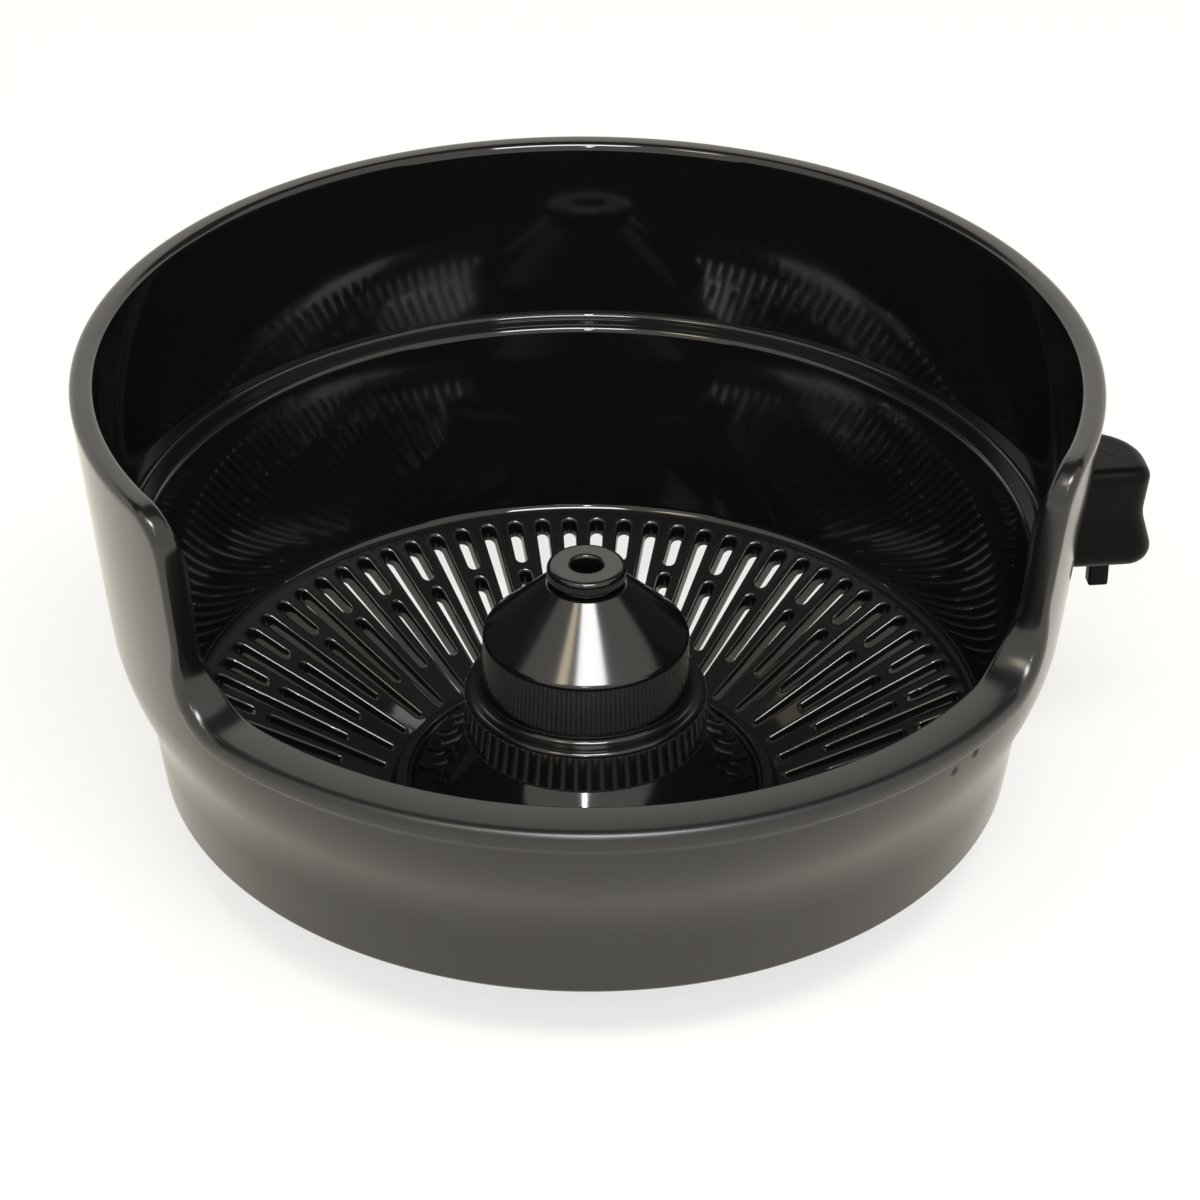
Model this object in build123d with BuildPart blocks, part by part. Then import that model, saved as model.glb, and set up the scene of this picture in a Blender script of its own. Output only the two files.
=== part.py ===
import os
from math import cos, hypot, radians, sin

from build123d import *

# Overall size of the bowl, standing on its foot ring at Z = 0
rim_diameter = 160.0
height = 83.0
rim_r = rim_diameter / 2

# Outer wall: upper drum, sloping shoulder, narrower lower drum
rim_wall = 3.3
belt_inset, belt_z = 4.6, 38.5
shoulder_inset, shoulder_z = 4.7, 27.5
foot_inset, drum_foot_z = 1.9, 12.8
drum_wall = 3.4
belt_round = 34.0
shoulder_round = 34.0
foot_round = 0.9

# Inner ledge at the step between the two drums
ledge_z = 50.5
ledge_inset = 2.7
ledge_width = 3.8
ledge_round = 1.3
ledge_fillet = 0.8

# Strainer floor, a funnel that falls towards the hub
floor_inset = 3.6
slot_land = 2.5
slot_outer_z = 15.8
floor_foot_z = 2.2
floor_wall = 2.0
floor_fillet = 1.6

# Ridge and foot ring at the bottom of the funnel
ridge_r = 30.4
ridge_wall = 2.2
ridge_z = 4.6
groove_z = 1.8
ridge_round = 0.9

# Hub that the reamer sits on, hollow from below
hub_wall = 2.3
skirt_r = 28.2
collar_r = 19.9
collar_z0, collar_z1 = 15.0, 22.2
post_r = 16.8
post_z = 32.6
neck_r, neck_z = 5.2, 42.3
neck_gap = 0.8
nose_r = 6.4
nose_z = 45.6
spindle_r = 2.45
spindle_length = 7.0
cone_top_r = 6.6
socket_inset = 2.8
socket_depth = 2.0
post_round = 1.2
collar_round = 1.0
nose_round = 1.5
spindle_round = 0.9

# Strainer slots: long ones alternate with pairs of shorter ones
slot_lines = 80
slot_share = 0.46
short_length = 7.8
slot_bridge = 1.9
long_inner_gap = 9.8
deep_inner_gap = 2.8

# Front cut-out, centred on -Y
cut_half_angle = 57.5
lip_z = 49.2
lip_crest_set = 1.2
lip_round = 5.5
lip_inner_round = 1.5
lip_inner_turn = 70.0
lip_run = 14.0
cut_clear = 12.0
cut_corner = 8.0
cut_shoulder = 6.5
rim_round = 1.5
rim_inner_round = 0.8

# Thumb tab on the +X side: waisted, hollow from below, with a small stem hanging under it
tab_sink = 1.4
tab_reach = 10.7
tab_width = 13.6
tab_z0, tab_waist_z, tab_z1 = 44.8, 54.2, 60.2
tab_foot_taper = 12.0
tab_head_taper = 15.0
tab_back_round = 5.5
tab_front_round = 2.5
tab_waist_round = 8.0
tab_edge_round = 2.0
tab_wall = 2.4
stem_depth = 3.0
stem_width = 2.6
stem_drop = 8.3
stem_bite = 0.3


def floor_top(r):
    return floor_foot_z + (slot_outer_z - floor_foot_z) * (r - ridge_r) / (slot_outer_r - ridge_r)


def wall_r(z):
    return belt_r + (rim_r - belt_r) * (z - belt_z) / (height - belt_z)


def corner(shape, x, y):
    return shape.vertices().sort_by_distance((x, y, 0))[0]


def axis_distance(edge):
    return hypot(edge.center().X, edge.center().Y)


def tapered_slot(inner_r, outer_r):
    # Both sides of a slot lie on rays through the bowl's axis, so it widens outwards
    r0 = inner_r * sin(slot_half) / (1 - sin(slot_half))
    r1 = outer_r * sin(slot_half) / (1 + sin(slot_half))
    with BuildSketch(mode=Mode.PRIVATE) as slot:
        with Locations((inner_r + r0, 0)):
            Circle(r0)
        with Locations((outer_r - r1, 0)):
            Circle(r1)
        make_hull()
    return slot.sketch


belt_r = rim_r - belt_inset
shoulder_r = belt_r - shoulder_inset
drum_foot_r = shoulder_r - foot_inset
ledge_outer_r = rim_r - rim_wall - ledge_inset
ledge_r = ledge_outer_r - ledge_width
lip_crest_r = ledge_r + lip_crest_set
floor_outer_r = drum_foot_r - floor_inset
slot_outer_r = floor_outer_r - slot_land
short_inner_r = slot_outer_r - short_length
deep_outer_r = short_inner_r - slot_bridge
long_inner_r = ridge_r + long_inner_gap
deep_inner_r = ridge_r + deep_inner_gap
wall_root_r = drum_foot_r - drum_wall
floor_joint_r = (drum_foot_r + wall_root_r) / 2
ridge_in_r, ridge_out_r = ridge_r - ridge_wall / 2, ridge_r + ridge_wall / 2
socket_r = skirt_r - socket_inset
tab_root_r, tab_r = wall_r(tab_waist_z) - tab_sink, wall_r(tab_waist_z) + tab_reach
tab_roof_z = tab_z1 - tab_wall
pitch = 360.0 / slot_lines
slot_half = radians(pitch * slot_share / 2)

with BuildPart() as juicer_bowl:
    # Stepped wall with the inner ledge
    with BuildSketch(Plane.XZ) as wall_section:
        with BuildLine():
            Polyline(
                (rim_r, height), (belt_r, belt_z), (shoulder_r, shoulder_z),
                (drum_foot_r, drum_foot_z), (wall_root_r, drum_foot_z),
                (floor_outer_r, floor_top(floor_outer_r)), (ledge_r, ledge_z),
                (ledge_outer_r, ledge_z), (rim_r - rim_wall, height), close=True,
            )
        make_face()
        fillet(corner(wall_section, belt_r, belt_z), belt_round)
        fillet(corner(wall_section, shoulder_r, shoulder_z), shoulder_round)
        fillet(corner(wall_section, ledge_r, ledge_z), ledge_round)
        fillet(corner(wall_section, ledge_outer_r, ledge_z), ledge_fillet)
        fillet(corner(wall_section, drum_foot_r, drum_foot_z), foot_round)
    revolve(axis=Axis.Z)

    # Front cut-out: a turned wedge whose underside leaves the lip rounded on its outer edge
    start = radians(-90.0 - cut_half_angle)
    out, side = (cos(start), sin(start), 0), (sin(start), -cos(start), 0)
    wedge_plane = Plane(origin=(0, 0, 0), x_dir=out, z_dir=side)
    lip_drop_r, lip_drop_z = lip_crest_r + lip_round, lip_z - lip_round
    with BuildPart(mode=Mode.PRIVATE) as wedge:
        with BuildSketch(wedge_plane):
            with BuildLine():
                crest = (lip_crest_r, lip_z - lip_inner_round)
                crest_in = CenterArc(crest, lip_inner_round, 90, lip_inner_turn)
                CenterArc((lip_crest_r, lip_drop_z), lip_round, 90, -90)
                run_in = Line(crest_in @ 1, crest_in @ 1 + crest_in % 1 * lip_run)
                Polyline(
                    (lip_drop_r, lip_drop_z), (lip_drop_r, lip_drop_z - lip_round),
                    (rim_r + cut_clear, lip_drop_z - lip_round), (rim_r + cut_clear, height + cut_clear),
                    (ledge_r - cut_clear, height + cut_clear), (ledge_r - cut_clear, (run_in @ 1).Y),
                    run_in @ 1,
                )
            make_face()
        revolve(axis=Axis.Z, revolution_arc=2 * cut_half_angle)
        wedge_ends = wedge.faces().filter_by(GeomType.PLANE).filter_by(lambda f: abs(f.normal_at().Z) < 0.5)
        low_ends = wedge_ends.edges().filter_by(lambda e: e.center().Z < lip_z)
        fillet([e for e in low_ends if axis_distance(e) < lip_drop_r + rim_round], cut_corner)
    add(wedge.part, mode=Mode.SUBTRACT)

    # Rounded shoulders where the rim meets the cut-out, then soft edges all the way round
    fillet(juicer_bowl.edges().group_by(Axis.Z)[-1].filter_by(GeomType.LINE), cut_shoulder)
    outside = juicer_bowl.faces().filter_by(GeomType.CONE).sort_by(lambda f: f.bounding_box().max.X)[-1]
    fillet([e for e in outside.edges() if e.bounding_box().min.Z > lip_drop_z], rim_round)
    cones = juicer_bowl.faces().filter_by(GeomType.CONE)
    inside = cones.filter_by(lambda f: f.bounding_box().min.Z > ledge_z)
    fillet([e for e in inside.edges() if e.bounding_box().min.Z > lip_z + cut_shoulder], rim_inner_round)

    # Funnel floor, ridge and hub, turned from one section
    with BuildSketch(Plane.XZ) as hub_section:
        with BuildLine():
            Polyline(
                (floor_joint_r, floor_top(floor_joint_r)), (ridge_r, floor_top(ridge_r)),
                (ridge_r, floor_top(ridge_r) - floor_wall),
                (floor_joint_r, floor_top(floor_joint_r) - floor_wall), close=True,
            )
        make_face()
        with BuildLine():
            Polyline(
                (ridge_out_r, 0), (ridge_out_r, ridge_z), (ridge_in_r, ridge_z),
                (ridge_in_r, groove_z), (skirt_r, groove_z), (collar_r, collar_z0),
                (collar_r, collar_z1), (post_r, collar_z1), (post_r, post_z),
                (cone_top_r, neck_z), (neck_r, neck_z), (neck_r, neck_z + neck_gap),
                (nose_r, neck_z + neck_gap), (nose_r, nose_z), (spindle_r, nose_z),
                (spindle_r, nose_z - spindle_length), (cone_top_r, nose_z - spindle_length),
                (post_r - hub_wall, post_z - hub_wall / 2), (post_r - hub_wall, collar_z1 - hub_wall),
                (collar_r - hub_wall, collar_z1 - hub_wall), (collar_r - hub_wall, collar_z0 - hub_wall / 2),
                (socket_r, socket_depth), (socket_r, 0), close=True,
            )
        make_face()
        for r in (ridge_in_r, ridge_out_r):
            fillet(corner(hub_section, r, ridge_z), ridge_round)
        fillet(corner(hub_section, collar_r, collar_z1), collar_round)
        fillet([corner(hub_section, post_r, post_z), corner(hub_section, post_r, collar_z1)], post_round)
        fillet(corner(hub_section, nose_r, nose_z), nose_round)
        fillet(corner(hub_section, spindle_r, nose_z), spindle_round)
    revolve(axis=Axis.Z)
    floor_edge = (floor_outer_r, 0, floor_top(floor_outer_r))
    fillet(juicer_bowl.edges().filter_by(GeomType.CIRCLE).sort_by_distance(floor_edge)[0], floor_fillet)

    # Thumb tab, drafted both ways from its waist, rounded, then hollowed from below
    with BuildPart(mode=Mode.PRIVATE) as tab:
        with BuildSketch(Plane.XY.offset(tab_waist_z)) as tab_plan:
            with Locations((tab_root_r, 0)):
                Rectangle(tab_r - tab_root_r, tab_width, align=(Align.MIN, Align.CENTER))
            fillet(corner(tab_plan, tab_r, tab_width / 2), tab_back_round)
            fillet(corner(tab_plan, tab_r, -tab_width / 2), tab_front_round)
        extrude(amount=tab_z1 - tab_waist_z, taper=-tab_head_taper)
        extrude(to_extrude=tab_plan.sketch, amount=tab_z0 - tab_waist_z, taper=-tab_foot_taper)
        levels = tab.edges().filter_by(lambda e: e.bounding_box().size.Z < tab_sink / 10).group_by(Axis.Z)
        free = [[e for e in level if e.center().X > tab_root_r] for level in levels]
        fillet(free[1], tab_waist_round)
        fillet([e for e in tab.edges().group_by(Axis.Z)[-1] if e.center().X > tab_root_r], tab_edge_round)
        fillet([e for e in tab.edges().group_by(Axis.Z)[0] if e.center().X > tab_root_r], tab_edge_round)
        split(bisect_by=Plane(origin=(tab_root_r, 0, 0), z_dir=(1, 0, 0)), keep=Keep.TOP)
        with BuildSketch(Plane.XY.offset(tab_z0)) as tab_pocket:
            with Locations((wall_r(tab_z1), 0)):
                pocket_reach = tab_r - tab_wall - wall_r(tab_z1)
                Rectangle(pocket_reach, tab_width - 2 * tab_wall, align=(Align.MIN, Align.CENTER))
            fillet(corner(tab_pocket, tab_r - tab_wall, tab_width / 2 - tab_wall), tab_back_round - tab_wall)
        extrude(amount=tab_roof_z - tab_z0, mode=Mode.SUBTRACT)
        with BuildSketch(Plane.XY.offset(tab_z0 - stem_drop)):
            with Locations((tab_r - tab_wall + stem_bite, 0)):
                Rectangle(stem_depth + stem_bite, stem_width, align=(Align.MAX, Align.CENTER))
        extrude(amount=tab_roof_z + stem_bite - tab_z0 + stem_drop)
    add(tab.part)

    # Strainer slots, cut straight down through the funnel
    with BuildSketch() as slots:
        with PolarLocations(0, slot_lines // 2, start_angle=90):
            add(tapered_slot(long_inner_r, slot_outer_r))
        with PolarLocations(0, slot_lines // 2, start_angle=90 + pitch):
            add(tapered_slot(short_inner_r, slot_outer_r))
            add(tapered_slot(deep_inner_r, deep_outer_r))
    extrude(amount=floor_top(floor_outer_r), mode=Mode.SUBTRACT)

juicer_bowl.part.label = "juicer_bowl"
os.makedirs("parts", exist_ok=True)
export_step(juicer_bowl.part, "parts/juicer_bowl.step")
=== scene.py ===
# %% [markdown]
# # A strainer bowl in glossy black plastic
# The object is the bowl of a citrus press: one moulding with a stepped wall, a slotted
# funnel for a floor, a hollow hub in the middle and a thumb tab on one side. The CAD solid
# gives its place and its sizes. Polished plastic mirrors the room, so every ripple of a mesh
# shows in it. The lesson therefore models the same moulding again with clean rows of
# quads, gives it the skin of black ABS and stages it on a white table.

# %% Load the solid and keep its box
import bpy
from math import atan2, cos, pi, radians, sin, tan
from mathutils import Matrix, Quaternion, Vector


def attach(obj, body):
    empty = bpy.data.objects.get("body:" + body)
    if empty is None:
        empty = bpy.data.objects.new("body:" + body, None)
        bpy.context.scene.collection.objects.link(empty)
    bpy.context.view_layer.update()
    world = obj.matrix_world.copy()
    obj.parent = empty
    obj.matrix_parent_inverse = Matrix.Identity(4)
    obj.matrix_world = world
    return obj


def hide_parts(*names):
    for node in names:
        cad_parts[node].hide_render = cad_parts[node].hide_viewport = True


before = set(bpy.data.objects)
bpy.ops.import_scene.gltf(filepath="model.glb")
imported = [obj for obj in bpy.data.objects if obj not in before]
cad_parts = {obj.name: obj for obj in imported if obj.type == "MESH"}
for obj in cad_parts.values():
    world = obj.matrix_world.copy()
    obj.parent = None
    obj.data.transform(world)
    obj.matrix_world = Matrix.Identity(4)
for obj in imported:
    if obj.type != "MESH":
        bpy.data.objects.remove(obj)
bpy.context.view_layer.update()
MM = 0.001


# %% [markdown]
# ## Profiles with soft corners
# A moulder never leaves a corner sharp: steel edges chip and plastic fills a round corner
# better. So every outline below is a list of corners with a radius each. One function turns
# it into points, with a guard point beside each arc that keeps the flats flat when the
# shading is smoothed.

# %% From one value to another, evenly or with a soft start and end
def blend(a, b, share):
    return a + (b - a) * share


def ease(share):
    share = min(max(share, 0.0), 1.0)
    return share * share * (3 - 2 * share)


print("a quarter of the way, eased:", round(ease(0.25), 3))


# %% Corners given as (x, y, radius) become points
def soften(corners, steps=6, guard=0.2):
    points = []
    for i, (x, y, radius) in enumerate(corners):
        here = Vector((x, y))
        if not radius:
            points.append((x, y))
            continue
        back = (Vector(corners[i - 1][:2]) - here).normalized()
        ahead = (Vector(corners[(i + 1) % len(corners)][:2]) - here).normalized()
        half = back.angle(ahead) / 2
        reach = radius / tan(half)
        centre = here + (back + ahead).normalized() * radius / sin(half)
        first, last = here + back * reach - centre, here + ahead * reach - centre
        turn = (atan2(last.y, last.x) - atan2(first.y, first.x) + pi) % (2 * pi) - pi
        points.append(tuple(here + back * (reach + guard)))
        for k in range(steps + 1):
            angle = atan2(first.y, first.x) + turn * k / steps
            points.append((centre.x + radius * cos(angle), centre.y + radius * sin(angle)))
        points.append(tuple(here + ahead * (reach + guard)))
    return points


print("points for one round corner:", len(soften([(0, 0, 0), (9, 0, 2), (9, 9, 0)])) - 2)


# %% Radius of a turned profile at a height
def radius_at(profile, z):
    for (r0, z0), (r1, z1) in zip(profile, profile[1:]):
        if min(z0, z1) <= z <= max(z0, z1) and z0 != z1:
            return blend(r0, r1, (z - z0) / (z1 - z0))
    first, last = profile[0], profile[-1]
    return first[0] if abs(z - first[1]) < abs(z - last[1]) else last[0]


print("half way up a cone:", radius_at([(10, 0), (20, 8)], 4))


# %% A mesh from points in mm, and a clean selection
def new_piece(name, points, faces=(), edges=()):
    mesh = bpy.data.meshes.new(name)
    mesh.from_pydata([Vector(p) * MM for p in points], edges, faces)
    piece = bpy.data.objects.new(name, mesh)
    bpy.context.scene.collection.objects.link(piece)
    return piece


def select_only(*pieces):
    bpy.ops.object.select_all(action="DESELECT")
    for piece in pieces:
        piece.select_set(True)
    bpy.context.view_layer.objects.active = pieces[0]


bpy.ops.object.select_all(action="DESELECT")
print("selected before modelling:", len(bpy.context.selected_objects))

# %% [markdown]
# ## The wall, one column at a time
# The wall is a turned section, but the front is cut low so that a hand and a lever can come
# in. Cutting a turned mesh leaves ragged edges, so the wall is laid out as a weaver would
# do it: each column of points starts at the floor inside, climbs over the ledge to the edge,
# goes over it and down the outside to the foot. Where the edge sinks from the rim to the
# low lip, the columns lean over and follow it.

# %% Sections of the wall in mm, as (r, z)
RIM_R, HEIGHT, RIM_WALL = 80.0, 83.0, 4.0
LEDGE_Z, LEDGE_R, LEDGE_OUT = 50.5, 70.2, 74.0
FLOOR_R, FLOOR_Z, FLOOR_SLOPE = 65.2, 16.85, 0.421
FUNNEL_R = 61.0

rim_inside = (RIM_R - RIM_WALL, HEIGHT)
outer = soften([(RIM_R + 0.2, HEIGHT + 2, 0), (75.4, 38.5, 34), (70.7, 27.5, 34),
                (68.8, 12.8, 0.9), (65.4, 12.8, 0)], steps=12)
inner_low = [(FLOOR_R, FLOOR_Z), (LEDGE_R, LEDGE_Z)]
inner_high = [(LEDGE_OUT, LEDGE_Z), rim_inside]
foot = soften([(FUNNEL_R, FLOOR_Z + FLOOR_SLOPE * (FUNNEL_R - FLOOR_R), 0),
               (FLOOR_R, FLOOR_Z, 1.7), (LEDGE_R, LEDGE_Z, 0)])[1:-1]
ledge = soften([(FLOOR_R, FLOOR_Z, 0), (LEDGE_R, LEDGE_Z, 1.2), (LEDGE_OUT, LEDGE_Z, 0.8),
                (*rim_inside, 0)])[1:-1]
print("outside points:", len(outer), "ledge points:", len(ledge))

# %% Section of the lip, thick, nearly flat on top and round outside, as (r, z)
lip = [(69.75, 47.2), (69.8, 47.5), (69.92, 47.75), (70.12, 47.95), (70.4, 48.07),
       (70.75, 48.1), (73.0, 48.02), (75.4, 47.88), (76.1, 47.73), (76.58, 47.42),
       (76.92, 46.96), (77.1, 46.4), (77.15, 45.8), (77.05, 45.1)]
print("lip:", len(lip), "points,", round(lip[-2][0] - lip[0][0], 1), "mm thick")

# %% [markdown]
# ## The line of the edge
# Seen unrolled, the edge of one half of the wall is a simple line: level along the lip, a
# round corner, straight up, a round shoulder and level along the rim. Each step on the line
# holds its length along the wall, its height, the place of its column's foot and the way
# that leads into the wall. Feet that are spread evenly keep the quads under the corner even.

# %% Sizes of the cut-out
LIP_Z, SIDE_ANGLE, CORNER_R, SHOULDER_R = 49.25, radians(57.5), 9.0, 6.5
SIDE_R = 77.0  # lengths along the wall are measured at this radius
LIP_STEPS, CORNER_STEPS, RISE_STEPS, SHOULDER_STEPS, RIM_STEPS = 44, 14, 9, 12, 75
LEAN, LEAN_RUN = 10.0, 70  # the columns beside the cut-out lean, and straighten over this run
CUT_TURN = radians(-0.8)
print("cut-out:", round(2 * SIDE_R * sin(SIDE_ANGLE)), "mm wide")


# %% Line of the edge round one half
def spread_feet(path, first, last, low, high):
    length = [0.0]
    for a, b in zip(path[first:last], path[first + 1:last + 1]):
        length.append(length[-1] + Vector((a[0] - b[0], a[1] - b[1])).length)
    for k in range(first, last):
        s, z, _, way = path[k]
        path[k] = (s, z, blend(low, high, length[k - first] / length[-1]), way)


def edge_path():
    side = SIDE_R * SIDE_ANGLE
    low, start, end = side - CORNER_R, side + SHOULDER_R, SIDE_R * pi
    path = [(low * k / LIP_STEPS, LIP_Z, low * k / LIP_STEPS, (0, -1)) for k in range(LIP_STEPS)]
    for k in range(CORNER_STEPS):
        a = radians(90) * k / CORNER_STEPS
        s, z = low + CORNER_R * sin(a), LIP_Z + CORNER_R * (1 - cos(a))
        path.append((s, z, None, (sin(a), -cos(a))))
    for k in range(RISE_STEPS):
        z = blend(LIP_Z + CORNER_R, HEIGHT - SHOULDER_R, k / RISE_STEPS)
        path.append((side, z, None, (1, 0)))
    for k in range(SHOULDER_STEPS):
        a = radians(90) * k / SHOULDER_STEPS
        s, z = side + SHOULDER_R * (1 - cos(a)), HEIGHT - SHOULDER_R * (1 - sin(a))
        path.append((s, z, None, (cos(a), -sin(a))))
    last = len(path)
    for k in range(RIM_STEPS):
        s = blend(start, end, k / (RIM_STEPS - 1))
        path.append((s, HEIGHT, s + LEAN * (1 - ease((s - start) / LEAN_RUN)), (0, -1)))
    spread_feet(path, LIP_STEPS, last, low, start + LEAN)
    return path


print("steps along half the edge:", len(edge_path()))

# %% [markdown]
# ## From the floor, over the edge and down
# One column is made of three runs. The inner run climbs past the ledge, which melts away
# where the edge sinks to the lip. The middle run goes over the edge: a slim round rim at the
# top, a thicker bead along the sides of the cut-out, and the lip in front. The outer run
# goes down to the foot. Rows stand close together beside each rounding, so that the shading
# of the flats stays flat.

# %% How far the edge has sunk
LIP_FROM, LIP_RUN = 60.0, 10.5  # below this height the edge turns into the lip
BEAD, BEAD_RUN = 2.0, 12.0  # the bead grows to its full size this far below the rim


def sunk(z_edge):
    return ease((LIP_FROM - z_edge) / LIP_RUN), ease((HEIGHT - z_edge) / BEAD_RUN)


print("shares of lip and bead at 55 mm:", [round(share, 2) for share in sunk(55)])


# %% Over the edge
RIM_ROUND, BEAD_ROUND = (1.2, 1.5), (2.2, 0.9)  # radius inside and outside


def edge_points(inside, outside):
    # as (depth below the edge, way in from the outside, share of the wall)
    turns = [radians(a) for a in range(0, 91, 15)]
    points = [(inside * (1 - sin(a)), -inside * (1 - cos(a)), 1) for a in turns]
    return points + [(outside * (1 - cos(a)), outside * (1 - sin(a)), 0) for a in turns]


def over_edge(s, z_edge, way):
    low, side = sunk(z_edge)
    edge = edge_points(*[blend(a, b, side) for a, b in zip(RIM_ROUND, BEAD_ROUND)])
    run = []
    for (depth, inset, share), (lip_r, lip_z) in zip(edge, lip):
        depth = blend(depth, LIP_Z - lip_z, low)
        z = z_edge + way[1] * depth
        skin = radius_at(outer, z)
        thick = skin - radius_at(inner_high, max(z, LEDGE_Z)) + BEAD * side
        lip_skin = skin + lip_r - radius_at(outer, lip_z)
        run.append((s + way[0] * depth, blend(skin - (inset + share * thick), lip_skin, low), z))
    return run


print("points over the edge:", len(over_edge(0, HEIGHT, (0, -1))))

# %% Up the inside
FLOOR_TUCK = 1.2  # the wall starts this far under the floor
INNER_ROWS = (22, 28, 34, 40, 44, 45.5)
FLAT_LEDGE = (45.9, 46.8)  # under the lip, the rows of the ledge lie flat at these heights
UPPER_SHARES = (0.14, 0.28, 0.42, 0.56, 0.7, 0.82, 0.92, 0.985)


def up_inside(base, z_edge, top_s, top_z):
    low, side = sunk(z_edge)
    run = [(base, r, z) for r, z in [(foot[0][0], foot[0][1] - FLOOR_TUCK)] + foot]
    run += [(base, radius_at(inner_low, z), z) for z in INNER_ROWS]
    for k, (r, z) in enumerate(ledge):
        z_low = blend(*FLAT_LEDGE, k / (len(ledge) - 1))
        run.append((base, blend(r, radius_at(inner_low, z_low), low), blend(z, z_low, low)))
    ledge_z = run[-1][2]
    for k in UPPER_SHARES:
        z = blend(ledge_z, top_z, k)
        high = radius_at(inner_high, max(z, LEDGE_Z)) - BEAD * side * ease(k)
        run.append((blend(base, top_s, k), blend(high, radius_at(inner_low, z), low), z))
    return run


print("points up the inside:", len(up_inside(0, HEIGHT, 0, HEIGHT - 2)))

# %% Down the outside
OUTER_SHARES = (0.02, 0.07, 0.13, 0.19, 0.26, 0.34, 0.42, 0.56, 0.7, 0.85, 1)
STEP_SHARE = 0.34  # the step under the lip is over by this share
UPRIGHT_Z, BELOW_Z = 41.5, 41.2  # from here down, a column stands upright


def down_outside(base, end_s, end_r, end_z):
    step = end_r - radius_at(outer, end_z)
    run = []
    for k in OUTER_SHARES:
        z = blend(end_z, UPRIGHT_Z, k)
        r = radius_at(outer, z) + step * (1 - ease(k / STEP_SHARE))
        run.append((blend(end_s, base, k), r, z))
    return run + [(base, r, z) for r, z in outer if z < BELOW_Z]


print("points down the outside:", len(down_outside(0, 0, RIM_R, HEIGHT - 2)))


# %% All columns, one half and its mirror image
def wall_column(s, z_edge, base, way):
    over = over_edge(s, z_edge, way)
    top_s, _, top_z = over[0]
    return up_inside(base, z_edge, top_s, top_z) + over + down_outside(base, *over[-1])


half = [wall_column(*step) for step in edge_path()]
columns = [[(s / SIDE_R + CUT_TURN, r, z) for s, r, z in column] for column in half]
columns += [[(-s / SIDE_R + CUT_TURN, r, z) for s, r, z in column] for column in half[-2:0:-1]]
rows = len(columns[0])
points = [(r * sin(a), -r * cos(a), z) for column in columns for a, r, z in column]
faces = []
for i in range(len(columns)):
    j = (i + 1) % len(columns)
    for k in range(rows):
        m = (k + 1) % rows
        faces.append((i * rows + k, i * rows + m, j * rows + m, j * rows + k))
wall = new_piece("wall", points, faces)
print("wall:", len(columns), "columns of", rows, "points")

# %% [markdown]
# ## The slotted funnel
# The floor is a shallow funnel with eighty lines of slots. Each line is one narrow sector
# that holds either a long slot or a pair of shorter ones. In the mould the slots are steel
# blades with polished, rounded roots, so their upper edges are soft and catch the light.
# Cutting eighty lines out of a plate would leave long thin faces, so one sector is drawn
# with rings of quads round its slots, and its copies are turned round the axis.

# %% Sizes of the slots in mm
LINES = 80
PITCH = radians(360 / LINES)
SLOT_HALF = PITCH * 0.46 / 2
LONG, PAIR = [(40.2, 62.7)], [(33.2, 53.0), (54.9, 62.7)]
SLOT_TURN = radians(0.4)
SOFT, LAND = 0.55, 0.95  # rounding of a slot's upper edge, and the plain strip at its ends
END_STEPS, FLANK_STEPS = 8, 5
print("slot width at the wall:", round(2 * LONG[0][1] * sin(SLOT_HALF), 2), "mm")

# %% Height and thickness of the plate
FLOOR_WALL, HUB_WALL, HUB_EDGE = 3.0, 1.9, 31.0


def floor_z(x, y):
    return FLOOR_Z + FLOOR_SLOPE * ((x * x + y * y) ** 0.5 - FLOOR_R)


def floor_wall(x, y):
    # the plate thins towards the hub, where the funnel comes down to the table
    return min(FLOOR_WALL, HUB_WALL + 0.1 * ((x * x + y * y) ** 0.5 - HUB_EDGE))


print("floor beside the hub:", round(floor_z(HUB_EDGE, 0), 1), "mm high")


# %% Ring round a slot, whose flanks lie on rays through the axis
def slot_loop(r_in, r_out, grow):
    a = r_in * sin(SLOT_HALF) / (1 - sin(SLOT_HALF))
    b = r_out * sin(SLOT_HALF) / (1 + sin(SLOT_HALF))
    ring = []
    for centre, radius, start in ((r_out - b, b + grow, -90), (r_in + a, a + grow, 90)):
        for k in range(END_STEPS + 1):
            t = radians(start + 180 * k / END_STEPS)
            ring.append((centre + radius * cos(t), radius * sin(t)))
    out, back = ring[:END_STEPS + 1], ring[END_STEPS + 1:]
    for first, last, group in ((out[-1], back[0], out), (back[-1], out[0], back)):
        first, last = Vector(first), Vector(last)
        group += [tuple(blend(first, last, k / FLANK_STEPS)) for k in range(1, FLANK_STEPS)]
    return out + back


print("points round a slot:", len(slot_loop(*LONG[0], 0)))


# %% The same ring pushed out to the border of its sector
def border_loop(ring, x_in, x_out):
    loop = []
    edge_y = tan(PITCH / 2)
    for i, (x, y) in enumerate(ring):
        group, k = divmod(i, END_STEPS + FLANK_STEPS)
        t = -90 + 180 * k / END_STEPS
        if k <= END_STEPS and abs(t) <= 45:
            x = x_out if group == 0 else x_in
            loop.append((x, (1 if group == 0 else -1) * x * edge_y * tan(radians(t))))
        else:
            loop.append((x, (1 if y > 0 else -1) * x * edge_y))
    return loop


print("points round a border:", len(border_loop(slot_loop(*LONG[0], SOFT), 39, 64)))

# %% One sector with its slots
ROUNDING = [radians(a) for a in (0, 12, 30, 50, 70, 90)]
TOP_AND_BOTTOM = ((0, False), (FLOOR_WALL, True))  # drop below the top, and faces turned over


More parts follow.
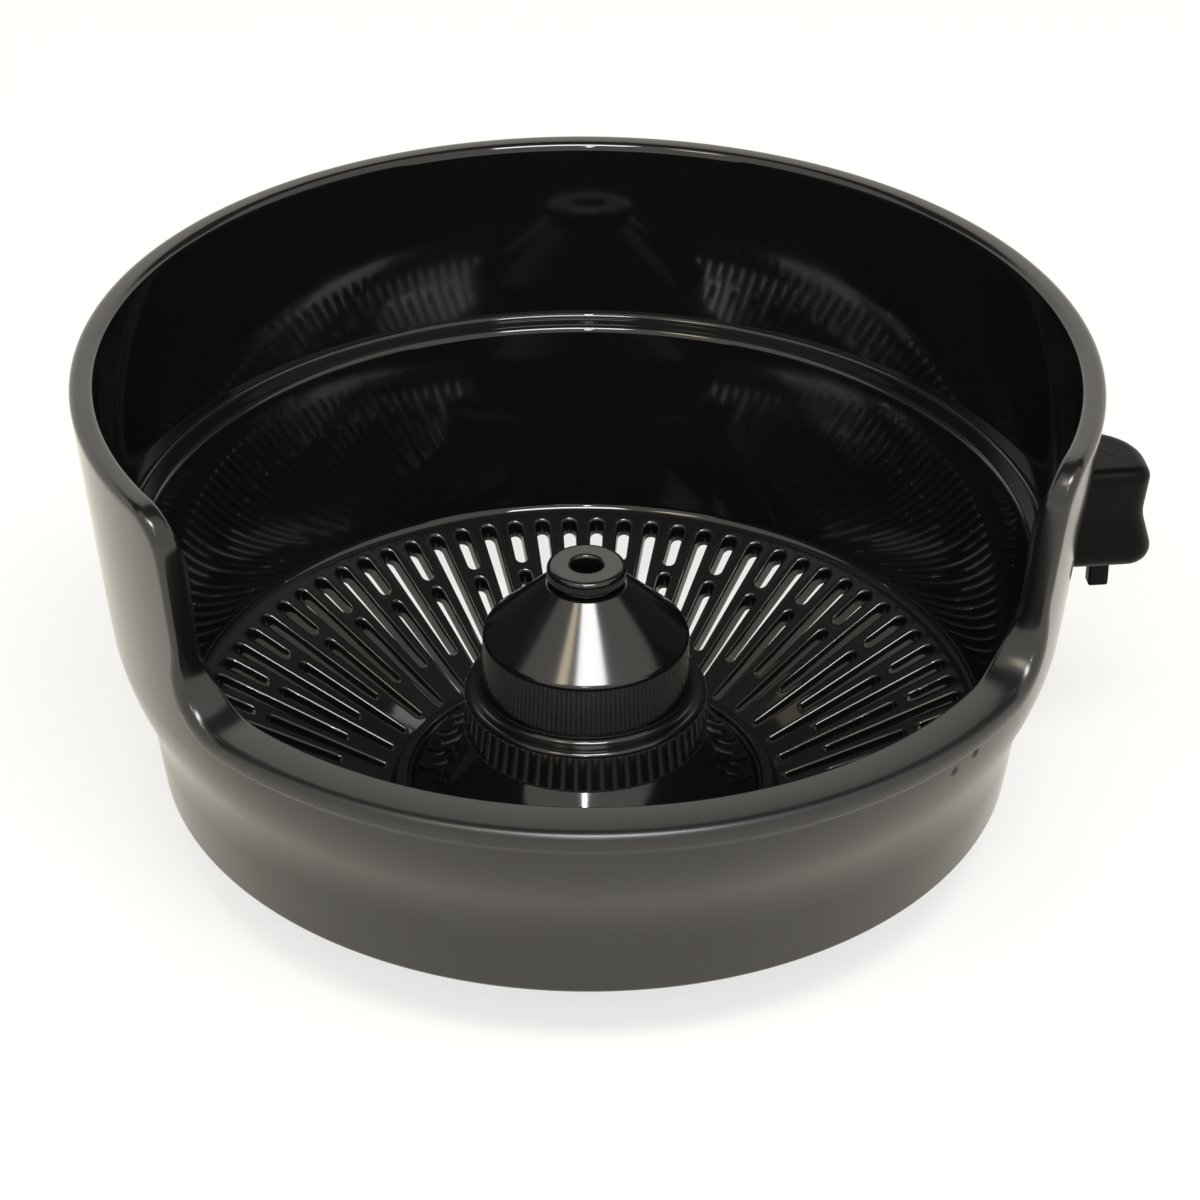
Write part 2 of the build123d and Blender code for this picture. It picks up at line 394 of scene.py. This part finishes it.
def sector(slots, r_in=HUB_EDGE, r_out=66.5):
    points, faces = [], []

    def add_ring(ring, drop):
        points.extend((x, y, floor_z(x, y) - min(drop, floor_wall(x, y))) for x, y in ring)
        return list(range(len(points) - len(ring), len(points)))

    def add_plain(x0, x1, drop, flip):
        if x1 - x0 < 0.01:
            return
        count = END_STEPS // 2
        tilts = [tan(radians(-45 + 90 * k / count)) for k in range(count + 1)]
        near, far = [add_ring([(x, x * tan(PITCH / 2) * t) for t in tilts], drop) for x in (x0, x1)]
        for k in range(count):
            quad = (near[k], far[k], far[k + 1], near[k + 1])
            faces.append(quad[::-1] if flip else quad)

    x = r_in
    for s_in, s_out in slots:
        for drop, flip in TOP_AND_BOTTOM:
            add_plain(x, s_in - LAND, drop, flip)
        x = s_out + LAND
        border = border_loop(slot_loop(s_in, s_out, SOFT), s_in - LAND, x)
        rings = [add_ring(border, 0)]
        for a in ROUNDING:
            ring = slot_loop(s_in, s_out, SOFT * (1 - sin(a)))
            rings.append(add_ring(ring, SOFT * (1 - cos(a))))
        rings.append(add_ring(slot_loop(s_in, s_out, 0), FLOOR_WALL))
        rings.append(add_ring(border, FLOOR_WALL))
        for a, b in zip(rings, rings[1:]):
            n = len(a)
            faces.extend((a[i], a[(i + 1) % n], b[(i + 1) % n], b[i]) for i in range(n))
    for drop, flip in TOP_AND_BOTTOM:
        add_plain(x, r_out, drop, flip)
    return points, faces


print("faces in a sector with two slots:", len(sector(PAIR)[1]))

# %% All sectors, turned round the axis and welded
points, faces = [], []
for line in range(LINES):
    angle = PITCH * line + SLOT_TURN
    some_points, some_faces = sector(LONG if line % 2 == 0 else PAIR)
    faces += [[i + len(points) for i in face] for face in some_faces]
    points += [(x * sin(angle) + y * cos(angle), -x * cos(angle) + y * sin(angle), z)
               for x, y, z in some_points]
floor = new_piece("floor", points, faces)
select_only(floor)
bpy.ops.object.mode_set(mode="EDIT")
bpy.ops.mesh.select_all(action="SELECT")
bpy.ops.mesh.remove_doubles(threshold=0.005 * MM)
bpy.ops.object.mode_set(mode="OBJECT")
print("slots:", LINES // 2 * (len(LONG) + len(PAIR)), "floor faces:", len(faces))

# %% [markdown]
# ## Hub and foot ring, turned on a spindle
# The hub is the one part of the bowl that a lathe could make: a skirt, a collar, a post, a
# cone and a little nose with the hole for the drive spindle. Spinning its half section
# round the axis does what the lathe does.

# %% Half section of the hub in mm, as (r, z, rounding)
hub_section = soften([
    (31.5, 0, 0.4), (31.5, 4.6, 0.9), (29.3, 4.6, 0.4), (29.3, 3.7, 0.3), (28.9, 3.7, 0.3),
    (19.9, 15.0, 0.5), (19.9, 22.2, 1.0), (16.8, 22.2, 1.2), (16.8, 32.6, 1.4),
    (6.6, 42.3, 0.3), (5.2, 42.3, 0.3), (5.2, 43.1, 0.2), (6.4, 43.1, 0.5), (6.4, 45.6, 0.9),
    (2.45, 45.6, 0.7), (2.45, 38.6, 0), (6.6, 38.6, 0), (14.5, 31.45, 0), (14.5, 19.9, 0),
    (17.6, 19.9, 0), (17.6, 13.85, 0), (25.4, 2.0, 0), (25.4, 0, 0.4)], guard=0.12)
count = len(hub_section)
hub = new_piece("hub", [(r, 0, z) for r, z in hub_section],
                edges=[(i, (i + 1) % count) for i in range(count)])
print("points in the half section:", count)

# %% Spin it round the axis and close the seam
select_only(hub)
bpy.ops.object.mode_set(mode="EDIT")
bpy.ops.mesh.select_all(action="SELECT")
bpy.ops.mesh.spin(steps=180, angle=2 * pi, center=(0, 0, 0), axis=(0, 0, 1))
bpy.ops.mesh.select_all(action="SELECT")
bpy.ops.mesh.remove_doubles(threshold=0.001 * MM)
bpy.ops.mesh.normals_make_consistent(inside=False)
bpy.ops.object.mode_set(mode="OBJECT")
print("hub faces:", len(hub.data.polygons))

# %% [markdown]
# ## Thumb tab
# The tab is a hollow block with a waist, so that a thumb can push it round. It is a stack of
# outlines: each one is the same rounded shape, grown or shrunk a little. The list of sizes
# climbs down the outside, turns under the wall and goes up into the hollow. The side that
# faces the back of the bowl has the larger corner.

# %% Outline of the tab, and how it grows on its way down
TAB_ROOT, TAB_END, TAB_HALF = 75.6, 89.1, 6.9
BACK_R, FRONT_R, ARC_STEPS = 8.6, 2.6, 10
tab_side = soften([(-5.0, 61.4, 0), (1.0, 61.4, 2.2), (0, 52.6, 8.0), (2.6, 43.9, 2.6),
                   (-2.4, 43.9, 0.5), (-2.4, 58.6, 0)], steps=8)


def tab_outline(grow):
    end, half = TAB_END + grow, TAB_HALF + grow
    back, front = max(BACK_R + grow, 0.4), max(FRONT_R + grow, 0.3)
    front_arc = (end - front, front - half, front, -90)
    back_arc = (end - back, half - back, back, 0)
    outline = [(TAB_ROOT, -half)]
    for x, y, radius, start in (front_arc, back_arc):
        for k in range(ARC_STEPS + 1):
            t = radians(start + 90 * k / ARC_STEPS)
            outline.append((x + radius * cos(t), y + radius * sin(t)))
    return outline + [(TAB_ROOT, half)]


print("outlines:", len(tab_side), "of", len(tab_outline(0)), "points")

# %% Stack the outlines and close both ends
loops = [[(x, y, z) for x, y in tab_outline(grow)] for grow, z in tab_side]
width = len(loops[0])
points = [p for loop in loops for p in loop]
faces = []
for i in range(len(loops) - 1):
    for k in range(width - 1):
        a = i * width + k
        faces.append((a, a + width, a + width + 1, a + 1))
faces.append(list(range(width)))
faces.append(list(range(len(points) - 1, len(points) - 1 - width, -1)))
tab = new_piece("tab", points, faces)
print("tab faces:", len(tab.data.polygons))

# %% [markdown]
# ## Stem
# A short bar comes down out of the hollow tab, most likely the finger that catches on what
# the bowl sits on. A cube with bevelled edges gives it, because a bar has nothing else to
# show.

# %% Stem under the tab
STEM_X, STEM_Z, STEM_SIZE, STEM_BEVEL = 83.95, 47.3, (3.3, 2.6, 21.6), 0.4
bpy.ops.object.select_all(action="DESELECT")
bpy.ops.mesh.primitive_cube_add(size=1, location=(STEM_X * MM, 0, STEM_Z * MM))
stem = bpy.context.active_object
stem.name = "stem"
stem.scale = [side * MM for side in STEM_SIZE]
bpy.ops.object.transform_apply(location=True, rotation=True, scale=True)
bpy.ops.object.mode_set(mode="EDIT")
bpy.ops.mesh.select_all(action="SELECT")
bpy.ops.mesh.bevel(offset=STEM_BEVEL * MM, segments=3)
bpy.ops.object.mode_set(mode="OBJECT")
print("stem reaches down to", round(min(v.co.z for v in stem.data.vertices) / MM, 1), "mm")

# %% [markdown]
# ## One moulding
# The wall, the funnel, the hub and the tab left the mould together, so they become one
# object. It stands for the CAD solid and rides on the same body. Edges up to 38 degrees are
# shaded smooth, which rounds the arcs and keeps the real corners.

# %% Join and hand the piece over
select_only(wall, floor, hub, tab, stem)
bpy.ops.object.join()
bowl = wall
bowl.name = bowl.data.name = "moulded_bowl"
bpy.ops.object.shade_smooth_by_angle(angle=radians(38))
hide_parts("juicer_bowl")
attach(bowl, "root")
bowl.data.calc_loop_triangles()
print("triangles:", len(bowl.data.loop_triangles))


# %% [markdown]
# ## Helpers for the finishes
# Colours are easier to read as the hex values of a paint chart, but Blender's sockets want
# linear light, so one function converts them. Another adds a node, sets it up and links it,
# which keeps each material short enough to read as a recipe.

# %% Colour, node and material
def linear(hex_colour):
    parts = [int(hex_colour[i:i + 2], 16) / 255 for i in (1, 3, 5)]
    return (*[p / 12.92 if p <= 0.04045 else ((p + 0.055) / 1.055) ** 2.4 for p in parts], 1.0)


def add_node(tree, kind, links=None, sockets=None, **settings):
    node = tree.nodes.new(kind)
    for name, value in settings.items():
        setattr(node, name, value)
    for key, value in (sockets or {}).items():
        node.inputs[key].default_value = value
    for key, source in (links or {}).items():
        tree.links.new(source, node.inputs[key])
    return node


def new_material(name):
    material = bpy.data.materials.new(name)
    material.use_nodes = True
    material.node_tree.nodes.clear()
    return material, material.node_tree


print("mid grey in linear light:", round(linear("#808080")[0], 3))

# %% [markdown]
# ## Polished black ABS
# ABS from a polished mould is almost a mirror: a black body with an index of refraction near
# 1.54. What keeps it from looking like glass is handling. Hands reach in over the low front
# and rub its gloss down to a satin, while the inside stays bright. The hub is rubbed by what
# turns on it, and two small chips sit under the lip on the right. Fine haze comes on top.
# Each kind of wear adds a little to the roughness.

# %% Haze and wear of the gloss
plastic, tree = new_material("polished_black_abs")
place = add_node(tree, "ShaderNodeTexCoord").outputs["Object"]
haze = add_node(tree, "ShaderNodeTexNoise", {"Vector": place},
                {"Scale": 1 / (22 * MM), "Detail": 3.0})
gloss = add_node(tree, "ShaderNodeMapRange", {"Value": haze.outputs["Fac"]},
                 {"From Min": 0.35, "From Max": 0.7, "To Min": 0.04, "To Max": 0.08})
axes = add_node(tree, "ShaderNodeSeparateXYZ", {"Vector": place})
rubbed_front = add_node(tree, "ShaderNodeMapRange", {"Value": axes.outputs["Y"]},
                        {"From Min": -18 * MM, "From Max": -60 * MM, "To Min": 0.0, "To Max": 0.26},
                        interpolation_type="SMOOTHSTEP")
flat = add_node(tree, "ShaderNodeVectorMath", {0: place}, {1: (1, 1, 0)}, operation="MULTIPLY")
radius = add_node(tree, "ShaderNodeVectorMath", {0: flat.outputs["Vector"]}, operation="LENGTH")
worn_hub = add_node(tree, "ShaderNodeMapRange", {"Value": radius.outputs["Value"]},
                    {"From Min": 18 * MM, "From Max": 23 * MM, "To Min": 0.1, "To Max": 0.0},
                    interpolation_type="SMOOTHSTEP")
wear = [rubbed_front, worn_hub]
for nick in ((48.5, -58.3, 42.0), (52.2, -55.0, 42.8)):
    apart = add_node(tree, "ShaderNodeVectorMath", {0: place}, {1: [side * MM for side in nick]},
                     operation="DISTANCE")
    wear.append(add_node(tree, "ShaderNodeMapRange", {"Value": apart.outputs["Value"]},
                         {"From Min": 0.3 * MM, "From Max": 1.1 * MM, "To Min": 0.55, "To Max": 0.0}))
rough = gloss.outputs["Result"]
for mark in wear:
    rough = add_node(tree, "ShaderNodeMath", {0: rough, 1: mark.outputs["Result"]},
                     operation="ADD").outputs["Value"]
print("kinds of wear on the gloss:", len(wear))

# %% Sink marks and the black body
sink = add_node(tree, "ShaderNodeTexNoise", {"Vector": place},
                {"Scale": 1 / (35 * MM), "Detail": 1.0})
ripple = add_node(tree, "ShaderNodeBump", {"Height": sink.outputs["Fac"]},
                  {"Strength": 0.1, "Distance": 0.2 * MM})
skin = add_node(tree, "ShaderNodeBsdfPrincipled",
                {"Roughness": rough, "Normal": ripple.outputs["Normal"]},
                {"Base Color": linear("#0e0e0e"), "IOR": 1.54, "Specular IOR Level": 0.6})
add_node(tree, "ShaderNodeOutputMaterial", {"Surface": skin.outputs["BSDF"]})
print("material:", plastic.name, "with", len(tree.nodes), "nodes")

# %% [markdown]
# ## Grained black ABS, darkened with painted shade
# The thumb tab is drawn flat black beside the wall. Its copy of the plastic has a darker base and a
# weak reflection, which is painted shade standing for the dark surroundings that the tab mirrors. A
# mould maker etches a fine texture into such a grip, which scatters the light instead of mirroring
# it. The real etching is finer than a pixel, so it is drawn here as coarse as 0.9 mm, with a high
# roughness under it.

# %% Matt tab, darkened as painted shade
grain_and_shade, tree = new_material("grained_shaded_black_abs")
place = add_node(tree, "ShaderNodeTexCoord").outputs["Object"]
etch = add_node(tree, "ShaderNodeTexNoise", {"Vector": place},
                {"Scale": 1 / (0.9 * MM), "Detail": 2.0})
dull = add_node(tree, "ShaderNodeMapRange", {"Value": etch.outputs["Fac"]},
                {"From Min": 0.3, "From Max": 0.7, "To Min": 0.33, "To Max": 0.43})
dimple = add_node(tree, "ShaderNodeBump", {"Height": etch.outputs["Fac"]},
                  {"Strength": 0.12, "Distance": 0.05 * MM})
skin = add_node(tree, "ShaderNodeBsdfPrincipled",
                {"Roughness": dull.outputs["Result"], "Normal": dimple.outputs["Normal"]},
                # painted shade: the darker base colour and the weak specular level stand for the dark
                # surroundings that the tab mirrors
                {"Base Color": linear("#060606"), "IOR": 1.54, "Specular IOR Level": 0.08})
add_node(tree, "ShaderNodeOutputMaterial", {"Surface": skin.outputs["BSDF"]})
print("material:", grain_and_shade.name, "with", len(tree.nodes), "nodes")

# %% Give each face its finish, by its place
# the tab's faces get the darkened copy, which carries painted shade as well as the etched texture
GRAIN_SHADE_FROM_X, GRAIN_SHADE_HALF_Y, GRAIN_SHADE_TO_Z = 77.9, 10, 62
bowl.data.materials.clear()
bowl.data.materials.append(plastic)
bowl.data.materials.append(grain_and_shade)
for face in bowl.data.polygons:
    x, y, z = face.center / MM
    face.material_index = int(x > GRAIN_SHADE_FROM_X and abs(y) < GRAIN_SHADE_HALF_Y and z < GRAIN_SHADE_TO_Z)
print("faces with grain:", sum(face.material_index for face in bowl.data.polygons))

# %% [markdown]
# ## White table
# The bowl stands on a cream table that burns out to pure white. Part of what the camera and
# the mirror of the plastic see of it is a plain white or cream glow of strength 1, and the
# rest is a real surface, so the shadow of the bowl stays on it.

# %% Table
TABLE_SIDE = 8.0
bpy.ops.object.select_all(action="DESELECT")
bpy.ops.mesh.primitive_plane_add(size=TABLE_SIDE, location=(0, 0, 0))
table = bpy.context.active_object
table.name = "table_top"
print("table:", TABLE_SIDE, "m wide")

# %% Its paint
MIRROR_SHARE, CAMERA_SHARE = 0.3, 0.7
paint, tree = new_material("white_table")
seen = add_node(tree, "ShaderNodeLightPath")
mirror = add_node(tree, "ShaderNodeMath",
                  {0: seen.outputs["Is Glossy Ray"], 1: seen.outputs["Is Transmission Ray"]},
                  operation="MAXIMUM")
mirror = add_node(tree, "ShaderNodeMath", {0: mirror.outputs["Value"]}, {1: MIRROR_SHARE},
                  operation="MULTIPLY")
direct = add_node(tree, "ShaderNodeMath", {0: seen.outputs["Is Camera Ray"]}, {1: CAMERA_SHARE},
                  operation="MULTIPLY")
coat = add_node(tree, "ShaderNodeBsdfDiffuse", sockets={"Color": linear("#fdfaf4")})
cream = add_node(tree, "ShaderNodeEmission",
                 sockets={"Color": linear("#fff6e8"), "Strength": 1.0})
white = add_node(tree, "ShaderNodeEmission",
                 sockets={"Color": linear("#ffffff"), "Strength": 1.0})
top = add_node(tree, "ShaderNodeMixShader", {0: mirror.outputs["Value"], 1: coat.outputs["BSDF"],
                                             2: cream.outputs["Emission"]})
top = add_node(tree, "ShaderNodeMixShader", {0: direct.outputs["Value"], 1: top.outputs["Shader"],
                                             2: white.outputs["Emission"]})
add_node(tree, "ShaderNodeOutputMaterial", {"Surface": top.outputs["Shader"]})
table.data.materials.append(paint)
print("material:", paint.name, "with", len(tree.nodes), "nodes")

# %% [markdown]
# ## Room
# A mirror shows the room it stands in. This one is pale low down all round and pale in
# front, and dark overhead and high up behind the bowl. The direction of a ray says which
# part it meets: Y tells front from back and Z is the height.

# %% Room
scene = bpy.context.scene
room = bpy.data.worlds.new("pale_room")
scene.world = room
room.use_nodes = True
tree = room.node_tree
tree.nodes.clear()
ray = add_node(tree, "ShaderNodeTexCoord").outputs["Generated"]
way = add_node(tree, "ShaderNodeSeparateXYZ", {"Vector": ray})
across = add_node(tree, "ShaderNodeMath", {0: way.outputs["X"]}, operation="ABSOLUTE")
tilt = add_node(tree, "ShaderNodeMath", {0: across.outputs["Value"], 2: way.outputs["Z"]},
                {1: 0.6}, operation="MULTIPLY_ADD")
behind = add_node(tree, "ShaderNodeMapRange", {"Value": tilt.outputs["Value"]},
                  {"From Min": 0.82, "From Max": 0.95, "To Min": 1.15, "To Max": 0.14},
                  interpolation_type="SMOOTHSTEP")
before = add_node(tree, "ShaderNodeMapRange", {"Value": way.outputs["Z"]},
                  {"From Min": 0.90, "From Max": 0.97, "To Min": 1.08, "To Max": 0.2},
                  interpolation_type="SMOOTHSTEP")
in_front = add_node(tree, "ShaderNodeMapRange", {"Value": way.outputs["Y"]},
                    {"From Min": 0.0, "From Max": 0.08, "To Min": 1.0, "To Max": 0.0},
                    interpolation_type="SMOOTHSTEP")
level = add_node(tree, "ShaderNodeMix", {"Factor": in_front.outputs["Result"],
                                         "A": behind.outputs["Result"],
                                         "B": before.outputs["Result"]})
walls = add_node(tree, "ShaderNodeBackground", {"Strength": level.outputs["Result"]},
                 {"Color": linear("#fff9f0")})
add_node(tree, "ShaderNodeOutputWorld", {"Surface": walls.outputs["Background"]})
print("room:", room.name, "with", len(tree.nodes), "nodes")


# %% [markdown]
# ## Lights
# A broad window stands high in front, with a narrow warm one on its left. Both show as
# stripes on the cone. A small lamp beside the lens makes the sparks along the middle of the
# bowl.

# %% Windows and lamp
def soft_light(name, place, size, watts, colour, aim=(0, 0, 0.03)):
    bpy.ops.object.light_add(type="AREA", location=place)
    lamp = bpy.context.active_object
    lamp.name = name
    lamp.rotation_euler = (Vector(aim) - Vector(place)).to_track_quat("-Z", "Y").to_euler()
    lamp.data.shape = "RECTANGLE"
    lamp.data.size, lamp.data.size_y = size
    lamp.data.energy = watts
    lamp.data.color = linear(colour)[:3]
    print("light:", lamp.name, watts, "W")


soft_light("broad_window", (0.02, -0.72, 1.31), (0.6, 0.35), 12.5, "#ffffff")
soft_light("narrow_window", (-0.54, -0.62, 1.24), (0.2, 0.35), 1.6, "#fff0cc")
soft_light("lamp_by_camera", (-0.065, -0.53, 0.46), (0.02, 0.02), 0.25, "#ffffff")

# %% [markdown]
# ## Camera
# The camera looks down on the open front from about 620 mm away. A long lens keeps the rim
# round, and the slight roll is that of a camera held in the hand.

# %% Camera
PHOTO_SIDE, FOCAL_PIXELS, SENSOR = 1200, 3835, 36
eye = Vector((-63.0, -516.3, 370.3)) * MM
sight = Vector((0.1057, 0.8366, -0.5376))
roll = Quaternion((0, 0, 1), radians(0.57))
bpy.ops.object.camera_add(location=eye)
camera = bpy.context.active_object
camera.rotation_mode = "QUATERNION"
camera.rotation_quaternion = sight.to_track_quat("-Z", "Y") @ roll
camera.data.sensor_width = SENSOR
camera.data.lens = FOCAL_PIXELS * SENSOR / PHOTO_SIDE
scene.camera = camera
scene.view_settings.view_transform = "Standard"
print("lens:", round(camera.data.lens, 1), "mm")
